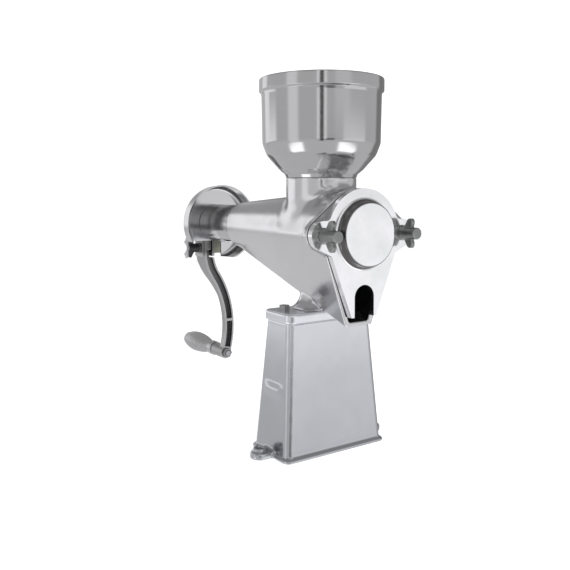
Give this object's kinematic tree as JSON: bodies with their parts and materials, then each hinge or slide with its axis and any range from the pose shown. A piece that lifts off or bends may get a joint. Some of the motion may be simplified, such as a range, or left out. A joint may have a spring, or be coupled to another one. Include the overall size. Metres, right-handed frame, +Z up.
{
  "type": "hand screw juice press",
  "caption": "Hand-cranked screw press on a hollow pedestal: hopper above, tapering barrel with a juice trough, front cover held by wing nuts, rear guard dish and S-shaped crank.",
  "frame": {"origin": "on the floor under the centre of the pedestal, midway between the two bolt lugs", "axes": "+Z up; -Y is the front, with the cover and the juice spout; the screw turns about a line along +Y; +X points to the right seen from the front"},
  "size_m": [0.214, 0.5912, 0.492],
  "materials": {
    "pedestal": "painted silver, satin",
    "casting": "polished casting",
    "hopper": "spun and polished",
    "cover": "polished plate",
    "dish": "satin sheet",
    "screw": "cast, worn by use",
    "crank": "cast, tumbled",
    "grip": "satin grey",
    "steel": "turned",
    "fastener": "zinc plated",
    "wing_nut": "cast, grey",
    "wing_bolt": "blackened",
    "block": "dull",
    "bronze": "turned bronze",
    "rubber": "moulded"
  },
  "bodies": {
    "frame": {"stand": "pedestal", "stand_cap": "pedestal", "cap_bolts": "fastener", "cap_nuts": "fastener", "foot_bolts": "fastener", "press_body": "casting", "front_gasket": "rubber", "strainer": "steel", "cover_studs": "steel", "outlet_neck": "casting", "rear_bush": "bronze", "shaft_seal": "rubber", "guard_dish": "dish", "dish_screws": "fastener"},
    "cover": {"front_plate": "cover", "front_bush": "bronze", "stud_washers": "fastener"},
    "wing_nut_left": {"wing_nut_left": "wing_nut"},
    "wing_nut_right": {"wing_nut_right": "wing_nut"},
    "hopper": {"hopper": "hopper"},
    "drive": {"screw": "screw", "drive_shaft": "steel", "screw_pin": "steel", "thrust_washer": "bronze", "shaft_collar": "steel", "crank_arm": "crank", "clamp_block": "block", "clamp_washer": "fastener", "clamp_lock_nut": "fastener", "grip_collar": "crank", "grip_spindle": "steel", "spindle_nut": "fastener"},
    "clamp_bolt": {"clamp_bolt": "wing_bolt"},
    "grip": {"crank_grip": "grip"}
  },
  "joints": [
    {"name": "crank_turn", "type": "hinge", "parent": "frame", "child": "drive", "pos_m": [0, 0.3335, 0.291], "axis": [0, 1, 0], "continuous": true},
    {"name": "grip_turn", "type": "hinge", "parent": "drive", "child": "grip", "pos_m": [0.03232, 0.417, 0.05932], "axis": [0, 1, 0], "continuous": true},
    {"name": "clamp_bolt_turn", "type": "hinge", "parent": "drive", "child": "clamp_bolt", "pos_m": [-0.02, 0.3335, 0.246], "axis": [1, 0, 0], "continuous": true},
    {"name": "cover_pull", "type": "slide", "parent": "frame", "child": "cover", "axis": [0, -1, 0], "range_m": [0, 0.045]},
    {"name": "wing_nut_left_turn", "type": "hinge", "parent": "cover", "child": "wing_nut_left", "pos_m": [-0.063, -0.11, 0.291], "axis": [0, -1, 0], "continuous": true},
    {"name": "wing_nut_right_turn", "type": "hinge", "parent": "cover", "child": "wing_nut_right", "pos_m": [0.063, -0.11, 0.291], "axis": [0, -1, 0], "continuous": true},
    {"name": "hopper_lift", "type": "slide", "parent": "frame", "child": "hopper", "axis": [0, 0, 1], "range_m": [0, 0.06]}
  ]
}
